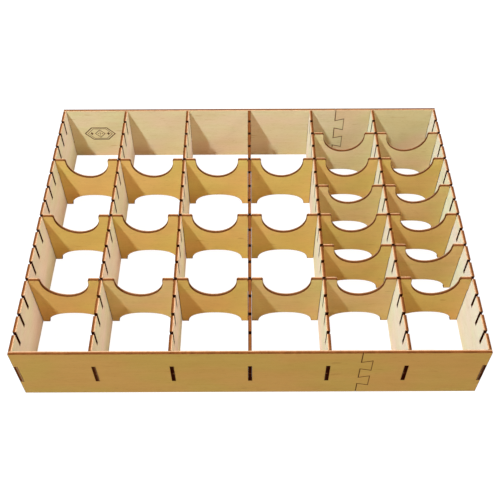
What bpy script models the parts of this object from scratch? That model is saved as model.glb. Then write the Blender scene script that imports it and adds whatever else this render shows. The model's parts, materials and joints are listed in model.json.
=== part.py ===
"""Box insert organizer: a laser-cut plywood tray of card columns with lift-out dividers.

The tray stands on its lower edges, origin at the middle of its footprint, +Z up. X runs
along the six columns and +Y is the back. Every piece is a flat sheet: its outline is drawn
in its own X-Z plane and thickened by the sheet, half to each side.
"""

import bpy
from math import cos, hypot, pi, radians, sin
from mathutils import Vector
from mathutils.geometry import delaunay_2d_cdt

# Driving dimensions, metres.
SHEET = 0.0032            # thickness of the plywood
FIT = 0.0003              # clearance on each side of every joint
HEIGHT = 0.070            # upper edge of the walls

COLUMNS = 6
COLUMN_PITCH = 0.071      # wall centre to wall centre across the columns
SLOT_PITCH = 0.0203       # divider slot to divider slot
SLOTS = 15                # slots in each wall, slot 1 nearest the back
SLOT_DEPTH = 0.0185       # from the upper edge down

TAB_BOTTOM = 0.022        # end tabs of the side walls and partitions
TAB_TOP = 0.048

SPLICE_X = 0.1001         # shoulder line of the dovetail splice in the long walls
SPLICE_REACH = 0.0104     # how far the dovetails pass the shoulder line
DOVETAIL_OFFSET = 0.0135  # dovetail centres above and below mid height
DOVETAIL_NECK = 0.0055    # half height at the shoulder
DOVETAIL_END = 0.0082     # half height at the far end

DIVIDER_BOTTOM = 0.0003   # the feet hang just clear of the ground
EAR_DROP = 0.0018         # ears stop this far below the upper edge
SCOOP_RADIUS = 0.0229     # finger scoop in the divider's upper edge
SCOOP_CENTRE = 0.0665
SCOOP_CORNER = 0.0020     # rounding where the scoop meets the upper edge
ARCH_HALF_WIDTH = 0.0268  # arch in the divider's lower edge
ARCH_RISE = 0.0150
ARCH_SQUARENESS = 2.3     # 2 is an ellipse, more is squarer

# Slots that hold a divider, column by column from the left.
WIDE_CELLS = (4, 8, 12)
NARROW_CELLS = (2, 4, 6, 8, 10, 12)
DIVIDER_SLOTS = (WIDE_CELLS, WIDE_CELLS, WIDE_CELLS, WIDE_CELLS, NARROW_CELLS, NARROW_CELLS)

# Sizes that follow from them.
WIDTH = COLUMNS * COLUMN_PITCH + SHEET
DEPTH = (SLOTS + 1) * SLOT_PITCH + SHEET
WALL_Y = (DEPTH - SHEET) / 2                  # centre of the front and back walls
CROSS_END = DEPTH / 2 - SHEET - FIT           # shoulders of the walls that run front to back
SLOT_HALF_WIDTH = SHEET / 2 + FIT
DIVIDER_HALF_WIDTH = (COLUMN_PITCH - SHEET) / 2 - FIT
EAR_END = (COLUMN_PITCH - FIT) / 2            # two ears share one slot, back to back

# Plywood tones: base colours, linear.
LONG_WALL_COLOUR = (0.50, 0.31, 0.13, 1.0)
CROSS_WALL_COLOUR = (0.66, 0.47, 0.26, 1.0)
DIVIDER_COLOUR = (0.56, 0.35, 0.15, 1.0)
PLY_ROUGHNESS = 0.62

ARC_STEPS = 16
CORNER_STEPS = 3
FILL_LESS_HOLES = 2       # delaunay_2d_cdt: triangles inside the loops, holes left open
SAME_POINT = 1e-7


def clear_scene():
    for item in list(bpy.data.objects):
        bpy.data.objects.remove(item)


def plywood(name, colour):
    material = bpy.data.materials.new(name)
    material.use_nodes = True
    material.diffuse_color = colour
    shader = material.node_tree.nodes["Principled BSDF"]
    shader.inputs["Base Color"].default_value = colour
    shader.inputs["Roughness"].default_value = PLY_ROUGHNESS
    shader.inputs["Metallic"].default_value = 0.0
    return material


def column_wall_x(index):
    """Centre of wall 0 (left side) to wall 6 (right side)."""
    return (index - COLUMNS / 2) * COLUMN_PITCH


def column_x(column):
    """Centre of column 1 (left) to 6 (right)."""
    return (column - (COLUMNS + 1) / 2) * COLUMN_PITCH


def slot_y(slot):
    """Centre of slot 1 (back) to 15 (front)."""
    return ((SLOTS + 1) / 2 - slot) * SLOT_PITCH


def arc(centre_x, centre_z, radius, start, end, steps):
    """Points on a circle from one angle to another, both ends included."""
    points = []
    for step in range(steps + 1):
        angle = start + (end - start) * step / steps
        points.append((centre_x + radius * cos(angle), centre_z + radius * sin(angle)))
    return points


def arch(half_width, rise, base_z):
    """Squared-off arch over a base line, from left foot to right foot."""
    power = 2 / ARCH_SQUARENESS
    points = []
    for step in range(ARC_STEPS + 1):
        angle = pi - pi * step / ARC_STEPS
        reach = half_width * abs(cos(angle)) ** power
        side = 1 if cos(angle) > 0 else -1
        points.append((side * reach, base_z + rise * abs(sin(angle)) ** power))
    return points


def mirrored(points):
    """The same points on the other side of X = 0, in running order."""
    return [(-x, z) for x, z in reversed(points)]


def rectangle(half_width, bottom, top, centre_x=0.0):
    left = centre_x - half_width
    right = centre_x + half_width
    return [(left, bottom), (right, bottom), (right, top), (left, top)]


def sheet_part(name, colour, outline, holes=()):
    """One plywood piece: the outline less its holes, thickened evenly about its mid plane."""
    points = []
    loops = []
    for loop in (outline, *holes):
        loops.append(list(range(len(points), len(points) + len(loop))))
        points += [Vector(point) for point in loop]
    flat = delaunay_2d_cdt(points, [], loops, FILL_LESS_HOLES, SAME_POINT)
    mesh = bpy.data.meshes.new(name)
    mesh.from_pydata([(x, 0.0, z) for x, z in flat[0]], [], flat[2])
    mesh.shade_smooth()
    mesh.set_sharp_from_angle(angle=radians(30))
    mesh.materials.append(plywood(name + "_ply", colour))
    part = bpy.data.objects.new(name, mesh)
    bpy.context.collection.objects.link(part)
    thickness = part.modifiers.new("sheet", "SOLIDIFY")
    thickness.thickness = SHEET
    thickness.offset = 0.0
    return part


def dovetails(shoulder_x, growth):
    """Outline of the two dovetails, bottom to top, each side moved out by growth."""
    end_x = shoulder_x + SPLICE_REACH
    neck = DOVETAIL_NECK + growth
    end = DOVETAIL_END + growth
    points = []
    for centre in (HEIGHT / 2 - DOVETAIL_OFFSET, HEIGHT / 2 + DOVETAIL_OFFSET):
        points.append((shoulder_x, centre - neck))
        points.append((end_x, centre - end))
        points.append((end_x, centre + end))
        points.append((shoulder_x, centre + neck))
    return points


def corner_notch():
    """Open notch at the right-hand end of a long wall, bottom to top."""
    inner_x = WIDTH / 2 - SHEET - FIT
    bottom = TAB_BOTTOM - FIT
    top = TAB_TOP + FIT
    return [(WIDTH / 2, bottom), (inner_x, bottom), (inner_x, top), (WIDTH / 2, top)]


def mortises(first, last):
    """Through holes for the tabs of the partitions first to last."""
    half = SHEET / 2 + FIT
    return [
        rectangle(half, TAB_BOTTOM - FIT, TAB_TOP + FIT, column_wall_x(index))
        for index in range(first, last + 1)
    ]


def long_wall_left(name):
    """The longer half of a front or back wall, with the dovetails."""
    outline = [(-WIDTH / 2, 0.0), (SPLICE_X, 0.0)]
    outline += dovetails(SPLICE_X, 0.0)
    outline += [(SPLICE_X, HEIGHT), (-WIDTH / 2, HEIGHT)]
    outline += mirrored(corner_notch())
    return sheet_part(name, LONG_WALL_COLOUR, outline, mortises(1, 4))


def long_wall_right(name):
    """The shorter half, with sockets that clear the dovetails by the fit all round."""
    flare = (DOVETAIL_END - DOVETAIL_NECK) / SPLICE_REACH
    growth = FIT * (flare + hypot(1.0, flare))
    shoulder_x = SPLICE_X + FIT
    outline = [(WIDTH / 2, 0.0)] + corner_notch()
    outline += [(WIDTH / 2, HEIGHT), (shoulder_x, HEIGHT)]
    outline += list(reversed(dovetails(shoulder_x, growth)))
    outline += [(shoulder_x, 0.0)]
    return sheet_part(name, LONG_WALL_COLOUR, outline, mortises(5, 5))


def cross_wall(name):
    """A side wall or partition: end tabs at mid height and a comb of divider slots on top."""
    outline = [(CROSS_END, 0.0), (CROSS_END, TAB_BOTTOM), (DEPTH / 2, TAB_BOTTOM)]
    outline += [(DEPTH / 2, TAB_TOP), (CROSS_END, TAB_TOP), (CROSS_END, HEIGHT)]
    slot_floor = HEIGHT - SLOT_DEPTH
    for slot in range(1, SLOTS + 1):
        outline.append((slot_y(slot) + SLOT_HALF_WIDTH, HEIGHT))
        outline.append((slot_y(slot) + SLOT_HALF_WIDTH, slot_floor))
        outline.append((slot_y(slot) - SLOT_HALF_WIDTH, slot_floor))
        outline.append((slot_y(slot) - SLOT_HALF_WIDTH, HEIGHT))
    outline += [(-CROSS_END, HEIGHT), (-CROSS_END, TAB_TOP), (-DEPTH / 2, TAB_TOP)]
    outline += [(-DEPTH / 2, TAB_BOTTOM), (-CROSS_END, TAB_BOTTOM), (-CROSS_END, 0.0)]
    return sheet_part(name, CROSS_WALL_COLOUR, outline)


def divider(name):
    """A lift-out divider: feet and arch below, ears at the sides, finger scoop on top."""
    ear_bottom = HEIGHT - SLOT_DEPTH + FIT
    ear_top = HEIGHT - EAR_DROP
    right_side = [
        (DIVIDER_HALF_WIDTH, DIVIDER_BOTTOM),
        (DIVIDER_HALF_WIDTH, ear_bottom),
        (EAR_END, ear_bottom),
        (EAR_END, ear_top),
        (DIVIDER_HALF_WIDTH, ear_top),
        (DIVIDER_HALF_WIDTH, HEIGHT),
    ]
    corner_x = SCOOP_RADIUS + SCOOP_CORNER
    corner_z = HEIGHT - SCOOP_CORNER
    right_corner = arc(corner_x, corner_z, SCOOP_CORNER, pi / 2, pi, CORNER_STEPS)
    scoop = arc(0.0, SCOOP_CENTRE, SCOOP_RADIUS, 0.0, -pi, ARC_STEPS)

    outline = arch(ARCH_HALF_WIDTH, ARCH_RISE, DIVIDER_BOTTOM)
    outline += right_side + right_corner + scoop
    outline += mirrored(right_corner) + mirrored(right_side)
    return sheet_part(name, DIVIDER_COLOUR, outline)


def place(part, parent, x=0.0, y=0.0, turn=0.0):
    part.parent = parent
    part.location = (x, y, 0.0)
    part.rotation_euler = (0.0, 0.0, turn)


def build():
    clear_scene()
    tray = bpy.data.objects.new("tray", None)
    bpy.context.collection.objects.link(tray)

    for side, y in (("front", -WALL_Y), ("back", WALL_Y)):
        place(long_wall_left(side + "_wall_left"), tray, y=y)
        place(long_wall_right(side + "_wall_right"), tray, y=y)

    wall_names = ["left_side_wall"]
    wall_names += ["partition_{}".format(index) for index in range(1, COLUMNS)]
    wall_names += ["right_side_wall"]
    for index, name in enumerate(wall_names):
        place(cross_wall(name), tray, x=column_wall_x(index), turn=pi / 2)

    for column, slots in enumerate(DIVIDER_SLOTS, start=1):
        for row, slot in enumerate(slots, start=1):
            name = "divider_column{}_row{}".format(column, row)
            place(divider(name), tray, x=column_x(column), y=slot_y(slot))


build()
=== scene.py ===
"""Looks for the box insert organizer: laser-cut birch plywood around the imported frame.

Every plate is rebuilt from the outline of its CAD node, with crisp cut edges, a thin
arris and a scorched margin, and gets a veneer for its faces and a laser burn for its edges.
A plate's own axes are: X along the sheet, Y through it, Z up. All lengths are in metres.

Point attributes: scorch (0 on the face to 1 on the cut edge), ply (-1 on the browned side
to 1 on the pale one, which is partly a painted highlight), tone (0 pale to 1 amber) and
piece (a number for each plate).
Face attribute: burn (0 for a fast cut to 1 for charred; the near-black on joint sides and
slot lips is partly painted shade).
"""

import json
import bmesh
import bpy
from math import cos, pi, radians, sin, tau
from mathutils import Euler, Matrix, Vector
from mathutils.geometry import delaunay_2d_cdt


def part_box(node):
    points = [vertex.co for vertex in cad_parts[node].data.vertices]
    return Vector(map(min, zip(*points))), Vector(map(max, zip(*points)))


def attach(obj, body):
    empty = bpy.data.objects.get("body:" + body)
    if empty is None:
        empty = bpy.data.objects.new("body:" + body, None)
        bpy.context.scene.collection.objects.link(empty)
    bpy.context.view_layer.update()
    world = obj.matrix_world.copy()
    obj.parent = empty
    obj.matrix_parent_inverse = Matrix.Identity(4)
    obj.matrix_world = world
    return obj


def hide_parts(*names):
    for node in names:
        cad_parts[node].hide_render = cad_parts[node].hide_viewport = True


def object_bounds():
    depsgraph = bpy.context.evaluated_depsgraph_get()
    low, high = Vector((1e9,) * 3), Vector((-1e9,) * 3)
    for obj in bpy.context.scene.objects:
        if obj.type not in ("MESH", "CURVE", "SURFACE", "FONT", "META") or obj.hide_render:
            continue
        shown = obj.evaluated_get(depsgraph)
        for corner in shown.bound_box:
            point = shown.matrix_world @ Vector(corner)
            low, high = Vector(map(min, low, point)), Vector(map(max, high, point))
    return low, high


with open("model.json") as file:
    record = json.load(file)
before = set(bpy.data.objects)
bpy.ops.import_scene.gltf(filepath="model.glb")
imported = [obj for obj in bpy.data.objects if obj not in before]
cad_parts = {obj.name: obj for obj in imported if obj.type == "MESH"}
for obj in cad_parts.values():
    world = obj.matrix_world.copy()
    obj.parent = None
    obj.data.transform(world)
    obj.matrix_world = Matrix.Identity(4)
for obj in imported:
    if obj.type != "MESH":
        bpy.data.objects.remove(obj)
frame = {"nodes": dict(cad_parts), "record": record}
cad_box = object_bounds()

# Plate edges.
ARRIS = 0.00012           # softened corner between a face and the laser-cut edge
SMOKE_MARGIN = 0.0015     # how far the scorch fades across a face
SAME_POINT = 1e-5         # CAD corners closer than this are one
SHARPEST_CURVE = radians(40)   # a CAD outline that turns more than this has a corner there
LONGEST_CURVE_STEP = 0.0075    # longer CAD sides are straight
CURVE_STEPS = 4           # finer steps between two CAD points on a curve
FILL_LESS_HOLES = 2       # delaunay_2d_cdt: triangles inside the loops, holes left open
SHARP_EDGE = radians(35)
TAB_LENGTHS = (0.020, 0.030)     # shortest and longest tab end
SLOT_DEPTHS = (0.017, 0.020)     # shallowest and deepest divider slot
SNUG = 0.00025            # each side of a slot or mortise stands this much closer than the CAD's
BRIDGE = 0.0009           # uncut bridge that held a tab end in the sheet
# The lip's top edge is painted near-black: char, and painted shade of the slot.
LIP = 0.0007              # top edge charred beside a slot's mouth

# How hard the laser burnt an edge: 0 is a fast cut, 1 is charred black. The near-black on slot
# lips and the small sides of joints is partly char and partly painted shade, for the shade in
# slots, mortises and joint gaps.
FAST_BURN = 0.0
BRIDGE_BURN = 0.25
CURVE_BURN = 0.34
LIP_CHAR_AND_SHADE = 0.92
FULL_CHAR_AND_SHADE = 1.0

# Burn of a plate's tab ends, where it is lighter than the full char and painted shade.
TAB_BURN = {"left_side_wall": 0.10, "partition_1": 0.70, "right_side_wall": 0.70}

# The pale side of a plate: -1 is its own -Y side, and 1 (the rest) its +Y. A laser leaves one
# side cleaner; in the listed plates the pale side is the one facing the camera, so the near rim
# of the top edge is painted light as a highlight. A value nearer 0 makes the two sides more alike.
PALE_HIGHLIT_SIDE = {
    "back_wall_left": -1.0,
    "back_wall_right": -1.0,
    "left_side_wall": -1.0,
    "partition_1": -1.0,
    "partition_2": -1.0,
    "partition_3": -0.4,
}

# Veneer tone of a plate: 0 is its material's pale end, 1 (the rest) its amber end.
TONES = {
    "back_wall_left": 0.0,
    "back_wall_right": 0.15,
    "divider_column5_row1": 0.0,
    "divider_column6_row1": 0.15,
    "divider_column2_row3": 0.55,
    "divider_column4_row3": 0.60,
    "divider_column5_row3": 0.60,
    "divider_column5_row6": 0.55,
    "divider_column6_row3": 0.75,
    "divider_column6_row5": 0.80,
}

# Engraved emblem on the inner face of the back wall, first column.
EMBLEM_WIDTH = 0.0370
EMBLEM_HEIGHT = 0.0220
EMBLEM_UP = 0.0355
EMBLEM_DEPTH = 0.00025
EMBLEM_MARGIN = 0.00025
OUTER_LINE = 0.0012
INNER_LINE = 0.0006
INNER_SCALE = 0.80
DIE_SIZE = 0.0125
DIE_LINE = 0.0008
PIP_SIZE = 0.0014
PIP_SPACING = 0.0023
PIP_CORNERS = 12
DIAMOND_SIZE = (0.0034, 0.0048)
DIAMOND_ACROSS = 0.0098

# Scorch where a face meets its arris, and along the emblem's rim.
ARRIS_SCORCH = 0.85
ENGRAVED_RIM_SCORCH = 0.7

# Studio.
FLOOR_LEVEL = -0.0006
GROUND_LEVEL = -0.0008
GROUND_REACH = 6.0
WARM_LEVEL = -0.0007
BACKDROP_REACH = 5.0
BACKDROP_HEIGHT = 4.0
LOOK_AT = (0.0, 0.0, 0.03)
AMBIENT_TINT = (1.0, 0.71, 0.48, 1.0)
AMBIENT_STRENGTH = 0.52
KEY_PLACE = (-0.70, -0.37, 1.55)
KEY_SIZE = 0.11
KEY_POWER = 47.0
KEY_TINT = (0.84, 1.01, 1.13)
FILL_PLACE = (1.3, -0.3, 1.5)
FILL_SIZE = 1.2
FILL_POWER = 24.0
FILL_TINT = (0.97, 0.96, 1.04)
CAMERA_PLACE = (0.0008, -0.5092, 0.6430)
CAMERA_TURN = (radians(38.936), radians(0.167), radians(-0.151))
CAMERA_LENS = 54.02
CAMERA_SENSOR = 36.0


# ---------------------------------------------------------------- outlines

def turn_at(before, point, after):
    """How sharply a loop turns at a point, in radians."""
    return abs((point - before).angle_signed(after - point, 0.0))


def signed_area(loop):
    total = 0.0
    for start, end in zip(loop, loop[1:] + loop[:1]):
        total += start.x * end.y - end.x * start.y
    return total / 2


def cad_loops(node, along):
    """Outline and holes of a CAD plate as loops of (along, up) points, material on their left."""
    through = 1 - along
    mesh = frame["nodes"][node].data
    face_level = max(vertex.co[through] for vertex in mesh.vertices)
    places = {}
    steps = set()
    for face in mesh.polygons:
        corners = [mesh.vertices[index].co for index in face.vertices]
        if min(corner[through] for corner in corners) < face_level - SAME_POINT:
            continue
        keys = []
        for corner in corners:
            key = (round(corner[along] / SAME_POINT), round(corner.z / SAME_POINT))
            places[key] = Vector((corner[along], corner.z))
            keys.append(key)
        steps.update(zip(keys, keys[1:] + keys[:1]))
    following = {start: end for start, end in steps if (end, start) not in steps}
    loops = []
    while following:
        start = min(following)
        keys = [start]
        key = following.pop(start)
        while key != start:
            keys.append(key)
            key = following.pop(key)
        loops.append([places[key] for key in keys])
    loops.sort(key=lambda loop: -abs(signed_area(loop)))
    if signed_area(loops[0]) < 0:
        loops = [loop[::-1] for loop in loops]
    return loops


def curve_direction(before, point, after):
    """Direction of the curve through a point; a straight neighbour sets it alone."""
    back = point - before
    ahead = after - point
    if back.length > LONGEST_CURVE_STEP:
        return back.normalized()
    if ahead.length > LONGEST_CURVE_STEP:
        return ahead.normalized()
    blend = back.normalized() / back.length + ahead.normalized() / ahead.length
    return blend.normalized()


def finer(loop):
    """The loop with its curved runs drawn in smaller steps, and whether each step is curved."""
    count = len(loop)
    on_curve = [
        turn_at(loop[i - 1], loop[i], loop[(i + 1) % count]) < SHARPEST_CURVE
        for i in range(count)
    ]
    points = []
    bent = []
    for i in range(count):
        start = loop[i]
        end = loop[(i + 1) % count]
        points.append(start)
        chord = end - start
        touches_curve = on_curve[i] or on_curve[(i + 1) % count]
        bent.append(chord.length < LONGEST_CURVE_STEP and touches_curve)
        if not bent[-1]:
            continue
        axis = chord.normalized()
        leave = curve_direction(loop[i - 1], start, end) if on_curve[i] else None
        arrive = None
        if on_curve[(i + 1) % count]:
            arrive = curve_direction(start, end, loop[(i + 2) % count])
        leave = leave or 2 * arrive.dot(axis) * axis - arrive
        arrive = arrive or 2 * leave.dot(axis) * axis - leave
        for step in range(1, CURVE_STEPS):
            t = step / CURVE_STEPS
            bent.append(True)
            points.append(
                start * (2 * t**3 - 3 * t**2 + 1)
                + end * (3 * t**2 - 2 * t**3)
                + leave * chord.length * (t**3 - 2 * t**2 + t)
                + arrive * chord.length * (t**3 - t**2)
            )
    return points, bent


def marked(loop, reach, high):
    """The loop with more corners: a bridge in each tab end, and a lip at each slot mouth that is
    charred and painted near-black as the slot's shade.
    """
    points = []
    count = len(loop)
    for i, start in enumerate(loop):
        end = loop[(i + 1) % count]
        way = (end - start).normalized()
        length = (end - start).length
        points.append(start)
        at_end = min(abs(start.x), abs(end.x)) > reach - SAME_POINT
        on_top = min(start.y, end.y) > high - SAME_POINT
        if at_end and TAB_LENGTHS[0] < length < TAB_LENGTHS[1]:
            middle = (start + end) / 2
            points.append(middle - way * BRIDGE / 2)
            points.append(middle + way * BRIDGE / 2)
        if on_top and is_slot_side(loop[i - 1], start):
            points.append(start + way * LIP)
        if on_top and is_slot_side(end, loop[(i + 2) % count]):
            points.append(end - way * LIP)
    return points


def is_slot_side(start, end):
    upright = abs(start.x - end.x) < SAME_POINT
    return upright and SLOT_DEPTHS[0] < (end - start).length < SLOT_DEPTHS[1]


def snug(loop):
    """The loop with its slots a little narrower; a loop that is a mortise is smaller all round."""
    if signed_area(loop) < 0:
        return inset(loop, -SNUG)
    moved = [point.copy() for point in loop]
    count = len(loop)
    for i, start in enumerate(loop):
        end = loop[(i + 1) % count]
        if is_slot_side(start, end):
            into_slot = -left_of(start, end) * SNUG
            moved[i] += into_slot
            moved[(i + 1) % count] += into_slot
    return moved


def left_of(start, end):
    """Unit normal on the left of the way from start to end."""
    way = (end - start).normalized()
    return Vector((-way.y, way.x))


def inset(loop, distance):
    """The loop moved into the material, with mitred corners."""
    if distance == 0.0:
        return loop
    moved = []
    for before, point, after in zip(loop[-1:] + loop[:-1], loop, loop[1:] + loop[:1]):
        first = left_of(before, point)
        second = left_of(point, after)
        moved.append(point + (first + second) * distance / (1 + first.dot(second)))
    return moved


# ---------------------------------------------------------------- emblem

def polygon(width, height, corners, centre=Vector((0.0, 0.0))):
    """Points on an ellipse, anticlockwise: few corners make a hexagon or a diamond."""
    points = []
    for corner in range(corners):
        angle = tau * corner / corners
        points.append(centre + Vector((width / 2 * cos(angle), height / 2 * sin(angle))))
    return points


def emblem_loops(centre):
    """A hexagon ring around a diamond die with five pips and a small diamond on each side."""
    loops = []
    for scale, line in ((1.0, OUTER_LINE), (INNER_SCALE, INNER_LINE)):
        outer = polygon(EMBLEM_WIDTH * scale, EMBLEM_HEIGHT * scale, 6)
        loops.append(outer[::-1])
        loops.append(inset(outer, line))
    die = polygon(DIE_SIZE, DIE_SIZE, 4)
    loops.append(die[::-1])
    loops.append(inset(die, DIE_LINE))
    for across, up in ((0, 0), (1, 0), (-1, 0), (0, 1), (0, -1)):
        pip = Vector((across, up)) * PIP_SPACING
        loops.append(polygon(PIP_SIZE, PIP_SIZE, PIP_CORNERS, pip)[::-1])
    for side in (-1, 1):
        diamond = Vector((side * DIAMOND_ACROSS, 0.0))
        loops.append(polygon(*DIAMOND_SIZE, 4, diamond)[::-1])
    return [[centre + point for point in loop] for loop in loops]


# ---------------------------------------------------------------- plates

FACE, EDGE, BURNT = 0, 1, 2


class Shell:
    """Rings of points across a plate, joined by strips and closed by flat fills."""

    def __init__(self):
        self.points = []
        self.scorch = []
        self.faces = []
        self.burn = []
        self.slots = []

    def ring(self, loop, depth, scorch):
        first = len(self.points)
        self.points += [Vector((point.x, depth, point.y)) for point in loop]
        self.scorch += [scorch] * len(loop)
        return list(range(first, len(self.points)))

    def strip(self, ring_a, ring_b, slot, burn):
        for i, corner in enumerate(ring_a):
            after = (i + 1) % len(ring_a)
            self.faces.append((corner, ring_b[i], ring_b[after], ring_a[after]))
            self.burn.append(burn[i])
            self.slots.append(slot)

    def fill(self, rings, slot):
        order = [index for ring in rings for index in ring]
        flat = [Vector((self.points[index].x, self.points[index].z)) for index in order]
        loops = []
        for ring in rings:
            first = loops[-1][-1] + 1 if loops else 0
            loops.append(list(range(first, first + len(ring))))
        result = delaunay_2d_cdt(flat, [], loops, FILL_LESS_HOLES, 1e-8)
        came_from = [sources[0] for sources in result[3]]
        for triangle in result[2]:
            self.faces.append([order[came_from[corner]] for corner in triangle])
            self.burn.append(FAST_BURN)
            self.slots.append(slot)


def edge_burn(loop, bent, reach, low, high, tab_burn):
    """How hard the laser burnt each side of a loop.

    Long outer edges are cut fast, curves slower, and the small sides of joints are charred
    near-black, which is partly painted shade in slots, mortises and joint gaps.
    """
    burn = []
    for start, end, curved in zip(loop, loop[1:] + loop[:1], bent):
        side = end - start
        flat = abs(side.y) < SAME_POINT
        outer = flat and (start.y < low + SAME_POINT or start.y > high - SAME_POINT)
        at_end = min(abs(start.x), abs(end.x)) > reach - SAME_POINT
        # A lip beside a slot mouth: char and painted shade.
        if outer and abs(side.length - LIP) < SAME_POINT:
            burn.append(LIP_CHAR_AND_SHADE)
        elif outer or side.length > high - low - SAME_POINT:
            burn.append(FAST_BURN)
        elif curved:
            burn.append(CURVE_BURN)
        elif abs(side.length - BRIDGE) < SAME_POINT:
            burn.append(BRIDGE_BURN)
        # Small sides of joints and tab ends: char, and painted shade in slots, mortises and joint
        # gaps.
        else:
            burn.append(tab_burn if at_end else FULL_CHAR_AND_SHADE)
    return burn


def plate_shell(loops, burns, half, engraving=()):
    """The whole plate: arrises, laser-cut edges, scorched margins, faces and engraving."""
    across_sheet = (
        (-half, SMOKE_MARGIN, 0.0),
        (-half, ARRIS, ARRIS_SCORCH),
        (-half + ARRIS, 0.0, 1.0),
        (half - ARRIS, 0.0, 1.0),
        (half, ARRIS, ARRIS_SCORCH),
        (half, SMOKE_MARGIN, 0.0),
    )
    strip_slots = (FACE, EDGE, EDGE, EDGE, FACE)
    shell = Shell()
    front = []
    back = []
    for loop, burn in zip(loops, burns):
        rings = [
            shell.ring(inset(loop, margin), depth, scorch)
            for depth, margin, scorch in across_sheet
        ]
        for ring_a, ring_b, slot in zip(rings, rings[1:], strip_slots):
            shell.strip(ring_a, ring_b, slot, burn)
        front.append(rings[0])
        back.append(rings[-1])
    floor = []
    for loop in engraving:
        margin = shell.ring(inset(loop, EMBLEM_MARGIN), -half, 0.0)
        rim = shell.ring(loop, -half, ENGRAVED_RIM_SCORCH)
        foot = shell.ring(loop, -half + EMBLEM_DEPTH, 1.0)
        unburnt = [FAST_BURN] * len(loop)
        shell.strip(margin, rim, FACE, unburnt)
        shell.strip(rim, foot, BURNT, unburnt)
        front.append(margin)
        floor.append(foot)
    shell.fill(front, FACE)
    shell.fill(back, FACE)
    if floor:
        shell.fill(floor, BURNT)
    return shell


def add_values(mesh, name, domain, values):
    attribute = mesh.attributes.new(name, "FLOAT", domain)
    attribute.data.foreach_set("value", values)


def plate(node, materials, number, engraving=()):
    """The detailed plate that stands for a CAD node and moves with its body."""
    low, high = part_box(node)
    centre = (low + high) / 2
    size = high - low
    along = 0 if size.x > size.y else 1
    half = size[1 - along] / 2
    reach = size[along] / 2
    loops = []
    burns = []
    for loop in cad_loops(node, along):
        shifted = [Vector((point.x - centre[along], point.y)) for point in loop]
        points, bent = finer(marked(snug(shifted), reach, high.z))
        loops.append(points)
        # Tab ends: char and painted shade, lighter on the listed plates.
        tab_burn = TAB_BURN.get(node, FULL_CHAR_AND_SHADE)
        burns.append(edge_burn(points, bent, reach, low.z, high.z, tab_burn))
    shell = plate_shell(loops, burns, half, engraving)
    mesh = bpy.data.meshes.new(node + "_plate")
    mesh.from_pydata(shell.points, [], shell.faces)
    add_values(mesh, "scorch", "POINT", shell.scorch)
    # The pale side: in the listed plates it faces the camera, so the near rim of the top edge is
    # painted light as a highlight.
    pale_highlit_side = PALE_HIGHLIT_SIDE.get(node, 1.0)
    add_values(mesh, "ply", "POINT", [pale_highlit_side * point.y / half for point in shell.points])
    add_values(mesh, "tone", "POINT", [TONES.get(node, 1.0)] * len(shell.points))
    add_values(mesh, "piece", "POINT", [float(number)] * len(shell.points))
    add_values(mesh, "burn", "FACE", shell.burn)
    for material in materials:
        mesh.materials.append(material)
    mesh.polygons.foreach_set("material_index", shell.slots)
    solid = bmesh.new()
    solid.from_mesh(mesh)
    bmesh.ops.recalc_face_normals(solid, faces=solid.faces)
    solid.to_mesh(mesh)
    solid.free()
    mesh.shade_smooth()
    mesh.set_sharp_from_angle(angle=SHARP_EDGE)
    piece = bpy.data.objects.new(node + "_plate", mesh)
    bpy.context.scene.collection.objects.link(piece)
    piece.location = (centre.x, centre.y, 0.0)
    piece.rotation_euler = (0.0, 0.0, along * pi / 2)
    bpy.context.view_layer.update()
    return piece


# ---------------------------------------------------------------- materials

def colour(red, green, blue):
    """A display colour, 0 to 255, as the linear colour that a shader takes."""
    linear = []
    for value in (red, green, blue):
        part = value / 255
        linear.append(part / 12.92 if part <= 0.04045 else ((part + 0.055) / 1.055) ** 2.4)
    return (*linear, 1.0)


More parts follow.
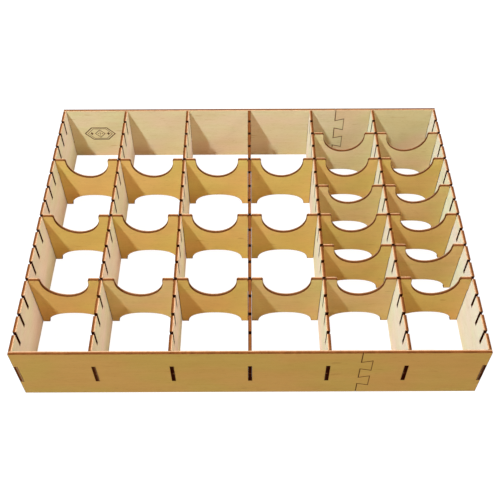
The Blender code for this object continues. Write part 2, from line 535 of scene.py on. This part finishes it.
class Graph:
    """A material's node tree, with a short call for each kind of node it needs."""

    def __init__(self, name):
        self.material = bpy.data.materials.new(name)
        self.material.use_nodes = True
        self.tree = self.material.node_tree
        self.shader = self.tree.nodes["Principled BSDF"]

    def set(self, socket, value):
        if isinstance(value, bpy.types.NodeSocket):
            self.tree.links.new(value, socket)
        else:
            socket.default_value = value

    def attribute(self, name):
        node = self.tree.nodes.new("ShaderNodeAttribute")
        node.attribute_name = name
        return node.outputs["Fac"]

    def math(self, operation, first, second=0.0, third=0.0):
        node = self.tree.nodes.new("ShaderNodeMath")
        node.operation = operation
        for socket, value in zip(node.inputs, (first, second, third)):
            self.set(socket, value)
        return node.outputs[0]

    def vector(self, operation, first, second):
        node = self.tree.nodes.new("ShaderNodeVectorMath")
        node.operation = operation
        for socket, value in zip(node.inputs, (first, second)):
            self.set(socket, value)
        return node.outputs[0]

    def noise(self, place, stretch, detail=2.0, distortion=0.0):
        """Noise with that many features per metre along, through and up the plate."""
        node = self.tree.nodes.new("ShaderNodeTexNoise")
        self.set(node.inputs["Vector"], self.vector("MULTIPLY", place, stretch))
        node.inputs["Scale"].default_value = 1.0
        node.inputs["Detail"].default_value = detail
        node.inputs["Distortion"].default_value = distortion
        return node.outputs["Fac"]

    def ramp(self, value, low, high, start=0.0, end=1.0):
        """start below low, end above high, and a smooth step between."""
        node = self.tree.nodes.new("ShaderNodeMapRange")
        node.interpolation_type = "SMOOTHSTEP"
        for socket, number in zip(node.inputs, (value, low, high, start, end)):
            self.set(socket, number)
        return node.outputs[0]

    def band(self, value, rise, fall):
        """1 between a smooth rise and a smooth fall, and 0 outside them."""
        return self.math("MULTIPLY", self.ramp(value, *rise), self.ramp(value, *fall, 1.0, 0.0))

    def mix(self, factor, first, second, blend="MIX"):
        node = self.tree.nodes.new("ShaderNodeMix")
        node.data_type = "RGBA"
        node.blend_type = blend
        self.set(node.inputs[0], factor)
        self.set(node.inputs[6], first)
        self.set(node.inputs[7], second)
        return node.outputs[2]

    def bump(self, height, distance, strength):
        node = self.tree.nodes.new("ShaderNodeBump")
        node.inputs["Distance"].default_value = distance
        node.inputs["Strength"].default_value = strength
        self.set(node.inputs["Height"], height)
        self.set(self.shader.inputs["Normal"], node.outputs[0])

    def place(self):
        """Plate coordinates, shifted for each piece so that no two share their grain."""
        node = self.tree.nodes.new("ShaderNodeTexCoord")
        shift = self.vector("MULTIPLY", self.attribute("piece"), (0.11, 0.07, 0.05))
        return self.vector("ADD", node.outputs["Object"], shift)


def veneer(name, pale, amber):
    """Rotary-cut birch: contour figure, fibre, pores, flecks and a smoke margin.

    The margin is full on the browned side and near joints, and faint on the pale one. The pale side
    faces the camera in the listed plates, so its rim is painted light as a highlight; the full
    margin near joints is partly painted shade.
    """
    graph = Graph(name)
    place = graph.place()

    lie = graph.noise(place, (4.5, 60.0, 22.0), detail=2.0, distortion=0.6)
    contour = graph.math("SINE", graph.math("MULTIPLY", lie, 46.0))
    figure = graph.ramp(contour, -1.0, 1.0)
    fibre = graph.noise(place, (38.0, 300.0, 900.0), detail=3.0)
    fine_fibre = graph.noise(place, (160.0, 900.0, 3200.0), detail=1.0)
    pores = graph.ramp(graph.noise(place, (260.0, 900.0, 2600.0), detail=0.0), 0.68, 0.78)
    flecks = graph.ramp(graph.noise(place, (48.0, 150.0, 330.0), detail=1.0), 0.72, 0.80)
    warm = graph.noise(place, (14.0, 40.0, 30.0), detail=2.0)
    cloud = graph.noise(place, (22.0, 60.0, 60.0), detail=2.0)

    base = graph.mix(graph.attribute("tone"), pale, amber)
    layers = (
        (graph.ramp(warm, 0.35, 0.65), (0.93, 1.05, 0.90, 1.0)),
        (graph.ramp(cloud, 0.25, 0.80, 0.0, 0.45), (0.94, 0.86, 0.78, 1.0)),
        (graph.math("MULTIPLY", figure, 0.12), (0.86, 0.78, 0.66, 1.0)),
        (graph.ramp(fibre, 0.30, 0.75, 0.0, 0.20), (0.84, 0.76, 0.64, 1.0)),
        (graph.ramp(fine_fibre, 0.40, 0.75, 0.0, 0.14), (0.82, 0.74, 0.62, 1.0)),
        (graph.math("MULTIPLY", pores, 0.30), (0.62, 0.48, 0.34, 1.0)),
        (graph.math("MULTIPLY", flecks, 0.45), (0.66, 0.48, 0.32, 1.0)),
    )
    for strength, tint in layers:
        base = graph.mix(strength, base, tint, "MULTIPLY")

    # Smoke margin: laser smoke, full near joints as painted shade, and faint on the pale side as a
    # painted highlight along the near rim.
    smoked_unhighlit_side = graph.ramp(graph.attribute("ply"), -0.5, 0.5, 1.0, 0.15)
    smoke_and_shade_amount = graph.math("MAXIMUM", graph.attribute("burn"), smoked_unhighlit_side)
    scorch = graph.math("MULTIPLY", graph.attribute("scorch"), smoke_and_shade_amount)
    patchy = graph.ramp(graph.noise(place, (130.0, 60.0, 130.0), detail=2.0), 0.25, 0.75, 0.35, 1.0)
    strength = graph.math("MULTIPLY", patchy, 0.50)
    smoke = graph.math("MULTIPLY", graph.math("POWER", scorch, 2.2), strength)
    line = graph.ramp(scorch, 0.60, 0.86, 0.0, 0.85)
    base = graph.mix(smoke, base, colour(168, 112, 58))
    base = graph.mix(line, base, colour(84, 44, 20))
    graph.set(graph.shader.inputs["Base Color"], base)

    grain = graph.math("MULTIPLY_ADD", fibre, 0.55, graph.math("MULTIPLY", fine_fibre, 0.45))
    rough = graph.math("MULTIPLY_ADD", grain, 0.22, 0.46)
    graph.set(graph.shader.inputs["Roughness"], graph.math("MULTIPLY_ADD", smoke, 0.15, rough))
    relief = graph.math("SUBTRACT", grain, graph.math("MULTIPLY", pores, 0.9))
    graph.bump(relief, 0.00006, 0.55)
    graph.shader.inputs["Specular IOR Level"].default_value = 0.3
    return graph.material


def laser_edge():
    """The cut edge: one pale ply and two browned ones, with striations through the sheet. The pale
    ply is partly a painted highlight, and the near-black char of joint sides is partly painted
    shade.
    """
    graph = Graph("laser_cut_edge")
    place = graph.place()
    ply = graph.attribute("ply")
    striation = graph.noise(place, (2600.0, 90.0, 2600.0), detail=2.0)
    patch = graph.noise(place, (150.0, 120.0, 150.0), detail=3.0)
    # Mask of the pale ply, a painted highlight on one side of the sheet.
    pale_highlit_side = graph.ramp(ply, 0.32, 0.62)
    core = graph.band(ply, (-0.42, -0.26), (0.24, 0.36))
    glue = graph.band(ply, (-0.46, -0.36), (-0.32, -0.22))

    base = graph.mix(graph.ramp(patch, 0.30, 0.72), colour(84, 44, 18), colour(112, 64, 30))
    base = graph.mix(graph.math("MULTIPLY", core, 0.55), base, colour(128, 76, 38))
    base = graph.mix(graph.math("MULTIPLY", glue, 0.45), base, colour(52, 24, 10))
    # Pale ply colour: lighter wood, painted lighter still as a highlight.
    pale = graph.mix(patch, colour(182, 136, 98), colour(212, 168, 128))
    base = graph.mix(pale_highlit_side, base, pale)
    base = graph.mix(graph.ramp(striation, 0.35, 0.75, 0.0, 0.35), base, colour(74, 36, 14))
    # Near-black char on joint sides and slot lips, partly painted shade in those recesses.
    char = graph.ramp(patch, 0.25, 0.75, 0.90, 1.0)
    char_and_shade = graph.math("MULTIPLY", graph.attribute("burn"), char)
    base = graph.mix(char_and_shade, base, colour(40, 7, 2))
    graph.set(graph.shader.inputs["Base Color"], base)
    graph.set(graph.shader.inputs["Roughness"], graph.math("MULTIPLY_ADD", striation, 0.25, 0.55))
    graph.bump(striation, 0.00008, 0.6)
    graph.shader.inputs["Specular IOR Level"].default_value = 0.0
    return graph.material


def engraved_burn():
    """The floor and sides of the engraved emblem."""
    graph = Graph("engraved_burn")
    place = graph.place()
    raster = graph.noise(place, (500.0, 400.0, 3800.0), detail=1.0)
    patch = graph.noise(place, (260.0, 200.0, 260.0), detail=2.0)
    base = graph.mix(graph.ramp(patch, 0.3, 0.7), colour(84, 50, 20), colour(106, 66, 30))
    base = graph.mix(graph.ramp(raster, 0.4, 0.7, 0.0, 0.6), base, colour(62, 34, 12))
    graph.set(graph.shader.inputs["Base Color"], base)
    graph.set(graph.shader.inputs["Roughness"], graph.math("MULTIPLY_ADD", raster, 0.2, 0.6))
    graph.bump(raster, 0.00006, 0.5)
    return graph.material


# ---------------------------------------------------------------- object

def build_object():
    edge = laser_edge()
    burn = engraved_burn()
    cross_wall = colour(232, 222, 206)
    faces = {
        "long_wall_ply": veneer("long_wall_veneer", colour(217, 197, 164), colour(209, 168, 92)),
        "cross_wall_ply": veneer("cross_wall_veneer", cross_wall, cross_wall),
        "divider_ply": veneer("divider_veneer", colour(222, 198, 156), colour(218, 181, 108)),
    }
    slots = {entry["node"]: entry["material_slot"] for entry in frame["record"]["subparts"]}
    left_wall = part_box("left_side_wall")[1]
    first_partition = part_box("partition_1")[0]
    back_wall = sum(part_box("back_wall_left"), Vector()) / 2
    emblem_at = Vector(((left_wall.x + first_partition.x) / 2 - back_wall.x, EMBLEM_UP))
    number = 0
    for body, nodes in frame["record"]["behaviour"]["bodies"].items():
        for node in nodes:
            number += 1
            engraving = emblem_loops(emblem_at) if node == "back_wall_left" else ()
            finish = (faces[slots[node]], edge, burn)
            piece = plate(node, finish, number, engraving)
            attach(piece, body)
            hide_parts(node)


# ---------------------------------------------------------------- studio

def studio_surface(name, corners, faces, tint, glow):
    """A paper surface, which isn't part of the object."""
    mesh = bpy.data.meshes.new(name)
    mesh.from_pydata(corners, [], faces)
    graph = Graph(name + "_paper")
    graph.shader.inputs["Base Color"].default_value = tint
    graph.shader.inputs["Roughness"].default_value = 0.9
    graph.shader.inputs["Specular IOR Level"].default_value = 0.0
    graph.shader.inputs["Emission Color"].default_value = (1.0, 1.0, 1.0, 1.0)
    graph.shader.inputs["Emission Strength"].default_value = glow
    mesh.materials.append(graph.material)
    surface = bpy.data.objects.new(name, mesh)
    bpy.context.scene.collection.objects.link(surface)
    return surface


def rectangle(low_x, low_y, high_x, high_y, level):
    return [
        (low_x, low_y, level),
        (high_x, low_y, level),
        (high_x, high_y, level),
        (low_x, high_y, level),
    ]


def square(reach, level):
    return rectangle(-reach, -reach, reach, reach, level)


def area_light(name, place, size, power, tint):
    light = bpy.data.lights.new(name, "AREA")
    light.shape = "DISK"
    light.size = size
    light.energy = power
    light.color = tint
    lamp = bpy.data.objects.new(name, light)
    lamp.location = place
    lamp.rotation_mode = "QUATERNION"
    lamp.rotation_quaternion = (Vector(LOOK_AT) - Vector(place)).to_track_quat("-Z", "Y")
    lamp.visible_camera = False
    bpy.context.scene.collection.objects.link(lamp)


def build_world():
    world = bpy.data.worlds.new("studio")
    world.use_nodes = True
    background = world.node_tree.nodes["Background"]
    background.inputs["Color"].default_value = AMBIENT_TINT
    background.inputs["Strength"].default_value = AMBIENT_STRENGTH
    bpy.context.scene.world = world


def build_ground():
    """A white floor and backdrop for the camera, and darker surfaces for bounced light."""
    one_face = [(0, 1, 2, 3)]
    level = square(GROUND_REACH, FLOOR_LEVEL)
    floor = studio_surface("floor", level, one_face, (0.10, 0.10, 0.10, 1.0), 0.97)
    floor.visible_diffuse = False
    floor.visible_glossy = False
    floor.visible_shadow = False

    ground = square(GROUND_REACH, GROUND_LEVEL)
    bounce = studio_surface("floor_bounce", ground, one_face, (0.26, 0.22, 0.17, 1.0), 0.0)
    bounce.visible_camera = False
    low, high = cad_box
    footprint = rectangle(low.x, low.y, high.x, high.y, WARM_LEVEL)
    warm = studio_surface("cell_bounce", footprint, one_face, (0.50, 0.23, 0.09, 1.0), 0.0)
    warm.visible_camera = False

    corners = square(BACKDROP_REACH, WARM_LEVEL) + square(BACKDROP_REACH, BACKDROP_HEIGHT)
    sides = [(0, 1, 5, 4), (1, 2, 6, 5), (2, 3, 7, 6), (3, 0, 4, 7), (4, 5, 6, 7)]
    backdrop = studio_surface("backdrop", corners, sides, (0.0, 0.0, 0.0, 1.0), 1.0)
    backdrop.visible_diffuse = False
    backdrop.visible_glossy = False
    backdrop.visible_transmission = False
    backdrop.visible_shadow = False


def build_camera():
    """The photograph's viewpoint."""
    data = bpy.data.cameras.new("camera")
    data.sensor_width = CAMERA_SENSOR
    data.lens = CAMERA_LENS
    camera = bpy.data.objects.new("camera", data)
    camera.location = CAMERA_PLACE
    camera.rotation_euler = Euler(CAMERA_TURN)
    bpy.context.scene.collection.objects.link(camera)
    bpy.context.scene.camera = camera


def build_studio():
    bpy.context.scene.view_settings.view_transform = "Standard"
    build_world()
    build_ground()
    area_light("key", KEY_PLACE, KEY_SIZE, KEY_POWER, KEY_TINT)
    area_light("right_fill", FILL_PLACE, FILL_SIZE, FILL_POWER, FILL_TINT)
    build_camera()


build_object()
build_studio()
